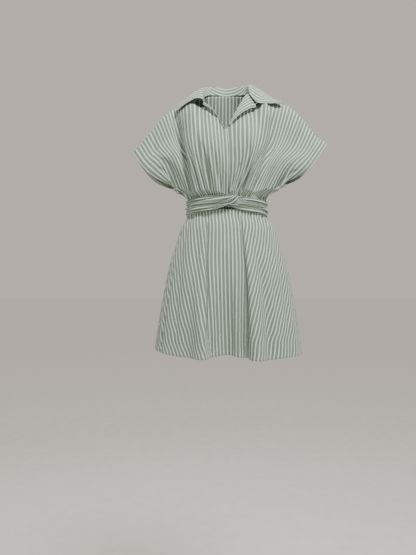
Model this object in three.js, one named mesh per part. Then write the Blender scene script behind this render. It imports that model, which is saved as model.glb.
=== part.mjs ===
// A short shirt dress in striped cotton, worn: open collar, sleeves cut in one with the bodice,
// fronts gathered into a twist whose ties wrap the waist, and a flared skirt.
// Millimetres, +Z up, front towards -Y, the wearer's left towards +X.
// The origin is midway between the shoulders at the side of the neck.
import * as THREE from 'three';

// Driving dimensions
const clothWall = 1.2;
const seamGap = 0.3;
const waistHalfWidth = 121;
const waistHalfDepth = 88;
const waistSeamZ = -372;
const shoulderSeamY = 8;
const sideSeamY = 2;
const sideSeamAcross = 271;
const sleeveHemAcross = 305;
const cuffWidth = 16;
const cuffLift = 1.1;
const frontLap = 14;
const backNeckDepth = 56;
const backNeckZ = 9;

// Each row is one stripe of a front, at its distance across the cloth from the centre edge.
// The stripe runs from the neck or shoulder, over chest and ribs, to the waist or side seam.
const rightFrontStripes = [
  { across: -14, top: [8, -90, -150], chest: [12, -101, -206], rib: [12, -100, -268], low: [11, -80, -345] },
  { across: 0, top: [-6, -88, -136], chest: [-2, -103, -203], rib: [-1, -102, -267], low: [-2, -82, -345] },
  { across: 34, top: [-40, -68, -76], chest: [-33, -110, -169], rib: [-26, -110, -253], low: [-20, -89, -348] },
  { across: 68, top: [-73, -32, -37], chest: [-65, -106, -156], rib: [-55, -111, -251], low: [-39, -85, -352] },
  { across: 80, top: [-83, 8, -19], chest: [-77, -101, -152], rib: [-66, -109, -248], low: [-45, -84, -355] },
  { across: 102, top: [-107, 8, -27], chest: [-101, -90, -143], rib: [-87, -102, -243], low: [-57, -80, -360] },
  { across: 136, top: [-142, 8, -38], chest: [-130, -66, -144], rib: [-105, -90, -241], low: [-72, -73, -368] },
  { across: 170, top: [-174, 8, -49], chest: [-148, -50, -150], rib: [-116, -80, -238], low: [-84, -66, -372] },
  { across: 203, top: [-205, 8, -76], chest: [-173, -46, -160], rib: [-132, -70, -236], low: [-95, -58, -372] },
  { across: 237, top: [-235, 8, -113], chest: [-207, -43, -171], rib: [-165, -60, -234], low: [-112, -39, -372] },
  { across: 271, top: [-266, 8, -151], chest: [-237, -45, -199], rib: [-194, -54, -247], low: [-124, 2, -372] },
  { across: 281, top: [-274, 8, -161], chest: [-245, -46, -208], rib: [-201, -53, -253], low: [-127, 2, -334] },
  { across: 288, top: [-280, 8, -168], chest: [-250, -48, -215], rib: [-206, -52, -258], low: [-141, 2, -316] },
  { across: 305, top: [-294, 8, -184], chest: [-262, -50, -231], rib: [-217, -50, -272], low: [-161, 2, -296] },
];
const leftFrontStripes = [
  { across: 0, top: [-3, -92, -135], chest: [3, -106, -203], rib: [3, -104, -267], low: [2, -90, -345] },
  { across: 34, top: [37, -60, -53], chest: [34, -108, -159], rib: [33, -111, -248], low: [9, -90, -346] },
  { across: 68, top: [68, -22, -12], chest: [70, -104, -144], rib: [56, -110, -242], low: [17, -89, -350] },
  { across: 80, top: [84, 8, -13], chest: [80, -99, -146], rib: [61, -109, -243], low: [20, -89, -352] },
  { across: 102, top: [115, 8, -20], chest: [99, -90, -149], rib: [70, -107, -244], low: [26, -88, -356] },
  { across: 136, top: [154, 8, -28], chest: [127, -68, -155], rib: [82, -100, -246], low: [37, -86, -364] },
  { across: 170, top: [195, 8, -37], chest: [158, -52, -157], rib: [110, -84, -242], low: [52, -82, -370] },
  { across: 203, top: [228, 8, -66], chest: [189, -44, -161], rib: [134, -70, -242], low: [74, -72, -372] },
  { across: 237, top: [255, 8, -99], chest: [221, -42, -176], rib: [161, -60, -246], low: [98, -55, -372] },
  { across: 271, top: [285, 8, -134], chest: [248, -45, -195], rib: [195, -54, -254], low: [124, 2, -372] },
  { across: 281, top: [293, 8, -141], chest: [255, -47, -201], rib: [206, -53, -256], low: [129, 2, -330] },
  { across: 288, top: [299, 8, -146], chest: [260, -48, -205], rib: [214, -52, -258], low: [145, 2, -308] },
  { across: 305, top: [311, 8, -156], chest: [272, -50, -213], rib: [229, -50, -258], low: [168, 2, -284] },
];

// The stripes of the back on its neck line and over its shoulder blades, for either side.
const backStripes = [
  { across: 0, topX: 0, topY: backNeckDepth, topZ: backNeckZ, chestX: 0, chestY: 92, ribX: 0, ribY: 92 },
  { across: 34, topX: 32, topY: 46, topZ: 5, chestX: 34, chestY: 94, ribX: 32, ribY: 92 },
  { across: 68, topX: 66, topY: 16, topZ: -9, chestX: 68, chestY: 92, ribX: 64, ribY: 88 },
  { across: 102, topX: 107, topY: shoulderSeamY, topZ: -12, chestX: 102, chestY: 84, ribX: 92, ribY: 82 },
  { across: 136, topX: 142, topY: shoulderSeamY, topZ: -25, chestX: 134, chestY: 72, ribX: 118, ribY: 74 },
];
const neckAcross = 75;
const backStripesTo = backStripes[backStripes.length - 1].across;
const backSleeveFrom = 90;
const backSleeveTo = 190;

// Troughs and ridges of the fronts: a straight run between two stripes and two heights.
// Heights are fractions down the stripe, depth is into the body and width is the half breadth.
const rightFrontFolds = [
  { across0: 158, down0: 0.12, across1: 192, down1: 0.8, depth: 14, width: 17 },
  { across0: 120, down0: 0.3, across1: 124, down1: 0.85, depth: -5, width: 13 },
  { across0: 96, down0: 0.4, across1: 78, down1: 0.88, depth: 5, width: 8 },
  { across0: 40, down0: 0.68, across1: 30, down1: 0.96, depth: 4, width: 8 },
  { across0: 262, down0: 0.52, across1: 250, down1: 0.92, depth: 6, width: 9 },
];
const leftFrontFolds = [
  { across0: 138, down0: 0.14, across1: 176, down1: 0.78, depth: 12, width: 16 },
  { across0: 226, down0: 0.16, across1: 216, down1: 0.5, depth: 4, width: 9 },
  { across0: 62, down0: 0.46, across1: 40, down1: 0.92, depth: 7, width: 10 },
  { across0: 108, down0: 0.6, across1: 98, down1: 0.94, depth: 4, width: 8 },
  { across0: 262, down0: 0.56, across1: 254, down1: 0.94, depth: 6, width: 9 },
];
const backFolds = [
  { across0: 150, down0: 0.2, across1: 140, down1: 0.8, depth: 10, width: 18 },
  { across0: 60, down0: 0.62, across1: 52, down1: 0.96, depth: 4, width: 10 },
  { across0: 100, down0: 0.66, across1: 92, down1: 0.96, depth: 4, width: 9 },
];

// Collar sections from the wearer's right end round the neck to the left end.
const collarSections = [
  { round: 0, neck: [-72, -36, -39], roll: [-76, -41, -31], fall: [-104, -36, -27], edge: [-157, -36, -66] },
  { round: 0.12, neck: [-69, -10, -13.8], roll: [-76, -12, 8], fall: [-112, -6, -4], edge: [-154, -8, -38] },
  { round: 0.2, neck: [-65, 9, -5.2], roll: [-73, 10, 19], fall: [-106, 20, 4], edge: [-144, 24, -33] },
  { round: 0.3, neck: [-54, 26, 3.2], roll: [-63, 31, 30], fall: [-92, 48, 8], edge: [-124, 58, -42] },
  { round: 0.5, neck: [0, 54, 10], roll: [0, 63, 38], fall: [0, 76, 20], edge: [0, 92, -30] },
  { round: 0.7, neck: [54, 26, 4], roll: [62, 31, 34], fall: [94, 48, 14], edge: [128, 60, -32] },
  { round: 0.88, neck: [63, -6, -6], roll: [68, -8, 21], fall: [112, 2, 5], edge: [160, 12, -20] },
  { round: 1, neck: [72, -26, -15], roll: [69, -38, -7], fall: [95, -61, -45], edge: [170, -25, -35] },
];

// Turned neck edges: the stripe at the roll line, and the outer edge's stripe and height down it.
const lapelSections = [
  { along: 0, root: 5, across: 6, down: 0.03 },
  { along: 0.25, root: 18, across: 19, down: 0.085 },
  { along: 0.55, root: 38, across: 38, down: 0.138 },
  { along: 0.8, root: 54, across: 60, down: 0.15 },
  { along: 1, root: 64, across: 81, down: 0.118 },
];
const edgeSections = [
  { along: 0, root: 5, across: 5, down: 0.027 },
  { along: 1, root: 66, across: 66, down: 0.027 },
];

// Waist ties by angle round the waist from the centre front, positive to the wearer's left.
// out is how far the tie stands off the waist.
const rightTieSections = [
  { angle: 13, top: -317, bottom: -333, out: 9 },
  { angle: 5, top: -325, bottom: -356, out: 14 },
  { angle: -6, top: -329, bottom: -366, out: 13 },
  { angle: -24, top: -331, bottom: -376, out: 9 },
  { angle: -58, top: -334, bottom: -383, out: 7.6 },
  { angle: -90, top: -336, bottom: -391, out: 6.6 },
  { angle: -130, top: -338, bottom: -387, out: 5.4 },
  { angle: -176, top: -347, bottom: -375, out: 7.5 },
];
const leftTieSections = [
  { angle: -3, top: -338, bottom: -362, out: 5.8 },
  { angle: 8, top: -339, bottom: -369, out: 6 },
  { angle: 28, top: -336, bottom: -379, out: 7 },
  { angle: 60, top: -340, bottom: -383, out: 6 },
  { angle: 90, top: -340, bottom: -389, out: 6.1 },
  { angle: 130, top: -340, bottom: -387, out: 5.9 },
  { angle: 176, top: -347, bottom: -375, out: 7.5 },
];
const tieFolds = 3;
const tieFoldDepth = 1.6;
const knotCentre = [0, 106, -361];
const knotHalfSize = [15, 11, 17];
const tieEnds = [
  { name: 'tie_end_right', side: -1, length: 235, lean: 30 },
  { name: 'tie_end_left', side: 1, length: 218, lean: 38 },
];

// Skirt rings from waist to hem, and its flutes by angle at the hem.
const skirtRings = [
  { drop: 372.6, width: 120, front: 87, back: 87, shift: 0 },
  { drop: 391, width: 124, front: 90.5, back: 90.5, shift: 0 },
  { drop: 412, width: 140, front: 102, back: 102, shift: 2 },
  { drop: 460, width: 159, front: 116, back: 118, shift: 3 },
  { drop: 530, width: 182, front: 132, back: 136, shift: 3 },
  { drop: 600, width: 197, front: 146, back: 149, shift: 3 },
  { drop: 700, width: 215, front: 160, back: 163, shift: 3 },
  { drop: 806, width: 229, front: 171, back: 175, shift: 4 },
];
const skirtFlutes = [
  { angle: -3, depth: 46, left: 9, right: 10, start: 0.3 },
  { angle: 11, depth: 16, left: 4, right: 3, start: 0.05 },
  { angle: -18, depth: -20, left: 8, right: 6, start: 0.25 },
  { angle: 20, depth: -20, left: 6, right: 8, start: 0.2 },
  { angle: -33, depth: 9, left: 7, right: 7, start: 0.1 },
  { angle: 31, depth: 9, left: 5, right: 6, start: 0.1 },
  { angle: 56, depth: -8, left: 12, right: 12, start: 0.3 },
  { angle: -62, depth: -8, left: 12, right: 12, start: 0.3 },
  { angle: 128, depth: 24, left: 12, right: 10, start: 0.25 },
  { angle: 165, depth: 22, left: 9, right: 11, start: 0.2 },
  { angle: 196, depth: 26, left: 10, right: 9, start: 0.25 },
  { angle: 236, depth: 20, left: 12, right: 11, start: 0.3 },
];
const skirtHem = [
  { angle: -124, z: -806 },
  { angle: -90, z: -792 },
  { angle: -66, z: -795 },
  { angle: -40, z: -804 },
  { angle: -19, z: -806 },
  { angle: -3, z: -799 },
  { angle: 17, z: -809 },
  { angle: 60, z: -806 },
  { angle: 95, z: -809 },
  { angle: 165, z: -806 },
  { angle: 236, z: -808 },
];
const frontSeamRight = -72;
const frontSeamLeft = 92;

// Curves through table rows
function slope(xs, ys, i) {
  const last = xs.length - 1;
  if (i === 0) return (ys[1] - ys[0]) / (xs[1] - xs[0]);
  if (i === last) return (ys[last] - ys[last - 1]) / (xs[last] - xs[last - 1]);
  const before = (ys[i] - ys[i - 1]) / (xs[i] - xs[i - 1]);
  const after = (ys[i + 1] - ys[i]) / (xs[i + 1] - xs[i]);
  const stepBefore = xs[i] - xs[i - 1];
  const stepAfter = xs[i + 1] - xs[i];
  return (before * stepAfter + after * stepBefore) / (stepBefore + stepAfter);
}

function curveAt(xs, ys, x) {
  const last = xs.length - 1;
  let i = 0;
  while (i < last - 1 && x > xs[i + 1]) i += 1;
  const step = xs[i + 1] - xs[i];
  const f = (x - xs[i]) / step;
  if (f <= 0 && i === 0) return ys[0] + slope(xs, ys, 0) * (x - xs[0]);
  if (f >= 1 && i === last - 1) return ys[last] + slope(xs, ys, last) * (x - xs[last]);
  const s0 = slope(xs, ys, i) * step;
  const s1 = slope(xs, ys, i + 1) * step;
  const f2 = f * f;
  const f3 = f2 * f;
  return ys[i] * (2 * f3 - 3 * f2 + 1) + s0 * (f3 - 2 * f2 + f)
    + ys[i + 1] * (3 * f2 - 2 * f3) + s1 * (f3 - f2);
}

function rowValue(rows, key, name, x) {
  return curveAt(rows.map((row) => row[key]), rows.map((row) => row[name]), x);
}

function rowPoint(rows, key, name, x) {
  const xs = rows.map((row) => row[key]);
  return [0, 1, 2].map((axis) => curveAt(xs, rows.map((row) => row[name][axis]), x));
}

// A surface lofted through levels of points, each level a curve through the rows.
function loft(rows, key, names, heights, x, down) {
  const points = names.map((name) => rowPoint(rows, key, name, x));
  const at = [0, 1, 2].map((axis) => curveAt(heights, points.map((point) => point[axis]), down));
  return new THREE.Vector3(at[0], at[1], at[2]);
}

function smooth(from, to, x) {
  return THREE.MathUtils.smoothstep(x, Math.min(from, to), Math.max(from, to));
}

// Normal of a surface given by a function of two numbers.
function normalOf(surface, a, b, stepA, stepB) {
  const alongA = surface(a + stepA, b).sub(surface(a - stepA, b));
  const alongB = surface(a, b + stepB).sub(surface(a, b - stepB));
  return alongA.cross(alongB).normalize();
}

// 1 where that normal points away from the wearer's axis at one place on the surface, or else -1.
function facingOf(surface, a, b, stepA, stepB) {
  const at = surface(a, b);
  const normal = normalOf(surface, a, b, stepA, stepB);
  return Math.sign(normal.x * at.x + normal.y * at.y);
}

// Bodice
const levels = ['top', 'crown', 'chest', 'rib', 'turn', 'low'];
const levelHeights = [0, 0.11, 0.33, 0.67, 0.9, 1];
const stripeLength = 330;

function foldDepth(folds, across, down) {
  let sum = 0;
  for (const fold of folds) {
    const f = THREE.MathUtils.clamp((down - fold.down0) / (fold.down1 - fold.down0), 0, 1);
    const middle = THREE.MathUtils.lerp(fold.across0, fold.across1, f);
    const past = Math.max(fold.down0 - down, down - fold.down1, 0) * stripeLength;
    const off = Math.hypot(across - middle, past * 0.45) / fold.width;
    const swell = 0.35 + 0.65 * Math.sin(Math.PI * THREE.MathUtils.clamp(f, 0.08, 0.92));
    sum += fold.depth * swell * Math.exp(-off * off);
  }
  return sum;
}

// The cloth narrows onto the waist below the top of the ties, and blouses out above it.
const gatherTopZ = -290;
const tiesTopZ = -330;
const waistEase = 1.005;
const blousePerMillimetre = 0.0085;
const sleeveEase = 0.4;

function gatherToWaist(at) {
  const above = Math.max(0, at.z - tiesTopZ);
  const openOut = sleeveEase * Math.pow(above / (gatherTopZ - tiesTopZ), 3);
  const limit = waistEase + blousePerMillimetre * above + openOut;
  const reach = Math.hypot(at.x / waistHalfWidth, at.y / waistHalfDepth);
  if (at.z < gatherTopZ && reach > limit) {
    at.x *= limit / reach;
    at.y *= limit / reach;
  }
  return at;
}

// Adds the round crown over the arm and the round turn under it to each stripe.
function rounded(stripes) {
  const between = (from, to, run, depthRun) => [0, 1, 2].map(
    (axis) => THREE.MathUtils.lerp(from[axis], to[axis], axis === 1 ? depthRun : run));
  return stripes.map((row) => {
    const onSleeve = smooth(72, 100, row.across);
    const underArm = smooth(237, 281, row.across);
    return {
      ...row,
      crown: between(row.top, row.chest, THREE.MathUtils.lerp(0.33, 0.17, onSleeve),
        THREE.MathUtils.lerp(0.36, 0.56, onSleeve)),
      turn: between(row.rib, row.low, THREE.MathUtils.lerp(0.7, 0.84, underArm),
        THREE.MathUtils.lerp(0.7, 0.46, underArm)),
    };
  });
}

function frontSurface(stripes, folds) {
  return (across, down) => {
    const at = loft(stripes, 'across', levels, levelHeights, across, down);
    at.y += foldDepth(folds, across, down);
    return gatherToWaist(at);
  };
}

// Back stripes take their heights, and past the shoulder blade their run, from the front ones.
function backRows(stripes, side) {
  return stripes.map((row) => {
    const onSleeve = smooth(backSleeveFrom, backSleeveTo, row.across);
    const own = (name) => rowValue(backStripes, 'across', name, Math.min(row.across, backStripesTo));
    const turn = Math.min(1, row.across / sideSeamAcross) * Math.PI / 2;
    const mixed = (name, level, axis) => THREE.MathUtils.lerp(
      axis === 0 ? side * own(name) : own(name),
      axis === 0 ? row[level][0] : 2 * shoulderSeamY - row[level][1], onSleeve);
    const onNeck = row.across < neckAcross;
    const top = onNeck ? [side * own('topX'), own('topY'), own('topZ')] : row.top.slice();
    const atSide = row.across >= sideSeamAcross;
    const low = [side * waistHalfWidth * Math.sin(turn), waistHalfDepth * Math.cos(turn), waistSeamZ];
    return {
      across: row.across,
      top,
      chest: [mixed('chestX', 'chest', 0), mixed('chestY', 'chest', 1), row.chest[2]],
      rib: [mixed('ribX', 'rib', 0), mixed('ribY', 'rib', 1), row.rib[2]],
      low: atSide ? row.low.slice() : low,
    };
  });
}

const rightFront = frontSurface(rounded(rightFrontStripes), rightFrontFolds);
const leftFront = frontSurface(rounded(leftFrontStripes), leftFrontFolds);
const rightBackRows = rounded(backRows(rightFrontStripes.slice(1), -1));
const leftBackRows = rounded(backRows(leftFrontStripes, 1));

function backSurface(across, down) {
  const rows = across < 0 ? rightBackRows : leftBackRows;
  const at = loft(rows, 'across', levels, levelHeights, Math.abs(across), down);
  at.y -= foldDepth(backFolds, Math.abs(across), down);
  return gatherToWaist(at);
}

// Walls
function closedMesh(name, colour, outer, inner, wrap) {
  const rows = outer.length;
  const columns = outer[0].length;
  const positions = [];
  for (const sheet of [outer, inner]) {
    for (const row of sheet) for (const at of row) positions.push(at.x, at.y, at.z);
  }
  const index = [];
  const id = (sheet, i, j) => (sheet * rows + (i % rows)) * columns + j;
  const quad = (a, b, c, d) => index.push(a, b, c, a, c, d);
  const spans = wrap ? rows : rows - 1;
  for (let i = 0; i < spans; i += 1) {
    for (let j = 0; j < columns - 1; j += 1) {
      quad(id(0, i, j), id(0, i + 1, j), id(0, i + 1, j + 1), id(0, i, j + 1));
      quad(id(1, i, j), id(1, i, j + 1), id(1, i + 1, j + 1), id(1, i + 1, j));
    }
    quad(id(0, i, 0), id(1, i, 0), id(1, i + 1, 0), id(0, i + 1, 0));
    quad(id(0, i + 1, columns - 1), id(1, i + 1, columns - 1), id(1, i, columns - 1), id(0, i, columns - 1));
  }
  if (!wrap) {
    for (let j = 0; j < columns - 1; j += 1) {
      quad(id(0, 0, j + 1), id(1, 0, j + 1), id(1, 0, j), id(0, 0, j));
      quad(id(0, rows - 1, j), id(1, rows - 1, j), id(1, rows - 1, j + 1), id(0, rows - 1, j + 1));
    }
  }
  const corner = (k) => new THREE.Vector3().fromArray(positions, 3 * k);
  let volume = 0;
  for (let k = 0; k < index.length; k += 3) {
    volume += corner(index[k]).dot(corner(index[k + 1]).cross(corner(index[k + 2])));
  }
  if (volume < 0) index.reverse();
  const geometry = new THREE.BufferGeometry();
  geometry.setAttribute('position', new THREE.Float32BufferAttribute(positions, 3));
  geometry.setIndex(index);
  geometry.computeVertexNormals();
  const material = new THREE.MeshStandardMaterial({ color: colour, roughness: 0.9, metalness: 0 });
  const mesh = new THREE.Mesh(geometry, material);
  mesh.name = name;
  return mesh;
}

function grid(rows, columns, pointAt) {
  const sheet = [];
  for (let i = 0; i < rows; i += 1) {
    const row = [];
    for (let j = 0; j < columns; j += 1) row.push(pointAt(i / (rows - 1), j / (columns - 1)));
    sheet.push(row);
  }
  return sheet;
}

// A wall of cloth whose outer face is a surface over two ranges, held to its side of a seam.
function clothWallMesh(name, colour, surface, range, counts, keep = (at) => at) {
  const [a0, a1, b0, b1] = range;
  const stepA = Math.abs(a1 - a0) / 400;
  const stepB = Math.abs(b1 - b0) / 400;
  const within = (b) => THREE.MathUtils.clamp(b, b0 + 2 * stepB, b1 - 2 * stepB);
  const place = (u, v) => [THREE.MathUtils.lerp(a0, a1, u), THREE.MathUtils.lerp(b0, b1, v)];
  const outer = grid(counts[0], counts[1], (u, v) => keep(surface(...place(u, v))));
  const facing = facingOf(surface, (a0 + a1) / 2, (b0 + b1) / 2, stepA, stepB);
  const inner = grid(counts[0], counts[1], (u, v) => {
    const [a, b] = place(u, v);
    const normal = normalOf(surface, a, within(b), stepA, stepB);
    return keep(surface(a, b).addScaledVector(normal, -clothWall * facing));
  });
  return closedMesh(name, colour, outer, inner, false);
}

const clothColour = 0xa3b3a4;
const dress = new THREE.Group();

function seamY(down) {
  return THREE.MathUtils.lerp(shoulderSeamY, sideSeamY, smooth(0.3, 0.9, down));
}

// Mesh lines of the bodice, closer together beside the side seam and above the waist.
const evenColumns = 15;
const pastSideSeam = [0, 5, 10];
const cuffColumns = [sleeveHemAcross - cuffWidth, sleeveHemAcross - cuffWidth / 2, sleeveHemAcross];
const stripeColumns = [
  ...Array.from({ length: evenColumns }, (none, i) => (i * sideSeamAcross) / evenColumns),
  ...pastSideSeam.map((past) => sideSeamAcross + past),
  ...cuffColumns,
];
const stripeRows = 15;
const crowding = 1.35;
const stripeSteps = Array.from({ length: stripeRows },
  (none, j) => 1 - Math.pow(1 - j / (stripeRows - 1), crowding));

// The fronts keep in front of the shoulder and side seams, and the back behind them.
const acrossStep = 1.5;
const downStep = 0.006;
const chestAcross = 60;

function bodiceWall(name, surface, columns, isBack) {
  const facing = facingOf(surface, chestAcross, 0.5, acrossStep, downStep);
  const outerOf = (across, down) => {
    const at = surface(across, down);
    const seam = seamY(down);
    at.y = isBack ? Math.max(at.y, seam + seamGap / 2) : Math.min(at.y, seam - seamGap / 2);
    return at;
  };
  const outer = [];
  const inner = [];
  for (const across of columns) {
    const outerRow = [];
    const innerRow = [];
    for (const down of stripeSteps) {
      const near = THREE.MathUtils.clamp(down, 2 * downStep, 1 - 2 * downStep);
      const normal = normalOf(surface, across, near, acrossStep, downStep);
      const at = outerOf(across, down);
      const seam = seamY(down);
      const behind = at.clone().addScaledVector(normal, -clothWall * facing);
      behind.y = isBack ? Math.max(behind.y, seam + seamGap / 2) : Math.min(behind.y, seam - seamGap / 2);
      at.z = Math.max(at.z, waistSeamZ);
      behind.z = Math.max(behind.z, waistSeamZ);
      outerRow.push(at);
      innerRow.push(behind);
    }
    outer.push(outerRow);
    inner.push(innerRow);
  }
  return closedMesh(name, clothColour, outer, inner, false);
}

const rightColumns = [-frontLap, ...stripeColumns];
const backColumns = [...stripeColumns.slice(1).reverse().map((across) => -across), ...stripeColumns];
dress.add(bodiceWall('front_right', rightFront, rightColumns, false));
dress.add(bodiceWall('front_left', leftFront, stripeColumns, false));
dress.add(bodiceWall('back', backSurface, backColumns, true));

// Cuffs ring the sleeve hems, made from the sleeve ends moved out.
function cuff(name, front, side) {
  const ring = cuffColumns.map((across) => [
    ...stripeSteps.map((down) => front(across, down)),
    ...stripeSteps.slice(1, -1).reverse().map((down) => backSurface(side * across, down)),
  ]);
  const around = ring[0].length;
  const middle = ring[1].reduce((sum, at) => sum.add(at), new THREE.Vector3()).divideScalar(around);
  const normalAt = (k, j) => {
    const before = ring[j][(k + around - 1) % around];
    const after = ring[j][(k + 1) % around];
    return after.clone().sub(before).cross(ring[2][k].clone().sub(ring[0][k])).normalize();
  };
  const facing = ring[1].reduce((sum, at, k) => sum + normalAt(k, 1).dot(at.clone().sub(middle)), 0);
  const place = (k, j, out) => {
    const at = ring[j][k];
    const before = ring[j][(k + around - 1) % around].clone().sub(at);
    const after = ring[j][(k + 1) % around].clone().sub(at);
    const mitre = 1 / Math.max(0.4, Math.sin(after.angleTo(before) / 2));
    return at.clone().addScaledVector(normalAt(k, j), out * mitre * Math.sign(facing));
  };
  const outer = [];
  const inner = [];
  for (let k = 0; k < around; k += 1) {
    outer.push(cuffColumns.map((across, j) => place(k, j, cuffLift + clothWall)));
    inner.push(cuffColumns.map((across, j) => place(k, j, cuffLift)));
  }
  return closedMesh(name, clothColour, outer, inner, true);
}

dress.add(cuff('cuff_right', rightFront, -1));
dress.add(cuff('cuff_left', leftFront, 1));

// Collar and the turned edges of the neck opening
const collarLevels = ['neck', 'roll', 'fall', 'edge'];
const collarHeights = [0, 0.24, 0.58, 1];
dress.add(clothWallMesh('collar', clothColour,
  (round, down) => loft(collarSections, 'round', collarLevels, collarHeights, round, down),
  [0, 1, 0, 1], [21, 8]));

// A strip turned back along the neck edge of a front, made from the front's points moved out.
function turnedEdge(name, front, sections, lift, counts) {
  const facing = facingOf(front, chestAcross, 0.5, acrossStep, downStep);
  const turned = (along, over) => {
    const root = rowValue(sections, 'along', 'root', along);
    const across = THREE.MathUtils.lerp(root, rowValue(sections, 'along', 'across', along), over);
    const down = over * rowValue(sections, 'along', 'down', along);
    const normal = normalOf(front, across, down + downStep, acrossStep, downStep);
    const height = seamGap + clothWall + lift * Math.sin(over * Math.PI / 2);
    return front(across, down).addScaledVector(normal, height * facing);
  };
  return clothWallMesh(name, clothColour, turned, [0, 1, 0, 1], counts);
}

dress.add(turnedEdge('lapel_left', leftFront, lapelSections, 7, [24, 8]));
dress.add(turnedEdge('edge_right', rightFront, edgeSections, 3, [14, 4]));

// Waist ties
function tieSurface(sections) {
  return (along, over) => {
    const last = sections.length - 1;
    const places = sections.map((row, i) => i / last);
    const value = (name) => curveAt(places, sections.map((row) => row[name]), along);
    const angle = THREE.MathUtils.degToRad(value('angle'));
    const ripple = tieFoldDepth * Math.cos(2 * Math.PI * tieFolds * over) + 2 * Math.sin(Math.PI * over);
    const out = value('out') + ripple;
    return new THREE.Vector3(
      (waistHalfWidth + out) * Math.sin(angle),
      -(waistHalfDepth + out) * Math.cos(angle),
      THREE.MathUtils.lerp(value('top'), value('bottom'), over),
    );
  };
}

dress.add(clothWallMesh('band_right', clothColour, tieSurface(rightTieSections), [0, 1, 0, 1], [27, 8]));
dress.add(clothWallMesh('band_left', clothColour, tieSurface(leftTieSections), [0, 1, 0, 1], [27, 8]));

// The knot at the back and the free ends of the ties
function tieKnot() {
  const geometry = new THREE.SphereGeometry(1, 16, 10);
  geometry.scale(knotHalfSize[0], knotHalfSize[1], knotHalfSize[2]);
  geometry.deleteAttribute('normal');
  geometry.deleteAttribute('uv');
  const material = new THREE.MeshStandardMaterial({ color: clothColour, roughness: 0.9, metalness: 0 });
  const mesh = new THREE.Mesh(geometry, material);
  mesh.name = 'tie_knot';
  mesh.position.fromArray(knotCentre);
  return mesh;
}
dress.add(tieKnot());

function tieEnd(end) {
  const surface = (down, over) => {
    const spread = 12 + 20 * smooth(0, 0.5, down);
    const z = knotCentre[2] - knotHalfSize[2] - seamGap - down * end.length;
    const middle = end.side * (7.3 + (end.lean + 2) * down);
    const fold = 3.5 * Math.cos(2.5 * Math.PI * over) * (1 - 0.5 * down);
    const behind = rowValue(skirtRings, 'drop', 'back', -z) + 9;
    return new THREE.Vector3(
      middle + (over - 0.5) * spread,
      THREE.MathUtils.lerp(knotCentre[1], behind, smooth(0, 0.25, down)) + fold,
      z,
    );
  };
  return clothWallMesh(end.name, clothColour, surface, [0, 1, 0, 1], [12, 6]);
}
for (const end of tieEnds) dress.add(tieEnd(end));

// Skirt
function skirtSurface(degrees, down) {
  const lastHemAngle = skirtHem[skirtHem.length - 1].angle;
  const hemZ = rowValue(skirtHem, 'angle', 'z', degrees > lastHemAngle ? degrees - 360 : degrees);
  const drop = THREE.MathUtils.lerp(skirtRings[0].drop, -hemZ, down);
  const angle = THREE.MathUtils.degToRad(degrees);
  const width = rowValue(skirtRings, 'drop', 'width', drop);
  const facing = smooth(-0.35, 0.35, Math.cos(angle));
  const depth = THREE.MathUtils.lerp(
    rowValue(skirtRings, 'drop', 'back', drop), rowValue(skirtRings, 'drop', 'front', drop), facing);
  let inward = 0;
  for (const flute of skirtFlutes) {
    const off = THREE.MathUtils.euclideanModulo(degrees - flute.angle + 180, 360) - 180;
    const breadth = off < 0 ? flute.left : flute.right;
    const grown = Math.max(0, (down - flute.start) / (1 - flute.start));
    inward += flute.depth * Math.pow(grown, 1.2) * Math.exp(-(off / breadth) * (off / breadth));
  }
  const across = new THREE.Vector2(Math.sin(angle) / width, -Math.cos(angle) / depth).normalize();
  return new THREE.Vector3(
    width * Math.sin(angle) + rowValue(skirtRings, 'drop', 'shift', drop) - across.x * inward,
    -depth * Math.cos(angle) - across.y * inward,
    -drop,
  );
}

// Rows of the skirt are closer together at the waist, where it turns out from under the ties.
const skirtCrowding = 1.5;
const skirtPoint = (degrees, evenDown) => skirtSurface(degrees, Math.pow(evenDown, skirtCrowding));
const seamDegrees = 0.08;
dress.add(clothWallMesh('skirt_front', clothColour, skirtPoint,
  [frontSeamRight + seamDegrees, frontSeamLeft - seamDegrees, 0, 1], [41, 10]));
dress.add(clothWallMesh('skirt_back', clothColour, skirtPoint,
  [frontSeamLeft + seamDegrees, frontSeamRight + 360 - seamDegrees, 0, 1], [37, 10]));

export default dress;
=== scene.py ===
import math
import random

import bpy
import numpy as np
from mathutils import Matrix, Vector


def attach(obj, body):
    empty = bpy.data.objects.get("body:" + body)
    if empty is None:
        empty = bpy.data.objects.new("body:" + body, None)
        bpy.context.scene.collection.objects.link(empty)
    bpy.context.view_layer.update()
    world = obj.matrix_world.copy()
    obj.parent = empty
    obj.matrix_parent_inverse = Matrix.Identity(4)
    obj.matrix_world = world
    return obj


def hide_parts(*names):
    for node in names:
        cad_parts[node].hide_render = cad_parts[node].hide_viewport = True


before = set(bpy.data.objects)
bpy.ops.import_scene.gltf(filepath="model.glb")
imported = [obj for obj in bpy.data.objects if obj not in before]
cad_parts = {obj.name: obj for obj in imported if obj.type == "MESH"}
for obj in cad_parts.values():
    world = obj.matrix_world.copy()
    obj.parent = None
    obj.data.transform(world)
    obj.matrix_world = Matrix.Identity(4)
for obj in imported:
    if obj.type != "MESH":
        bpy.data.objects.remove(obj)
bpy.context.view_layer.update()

MM = 0.001

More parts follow.
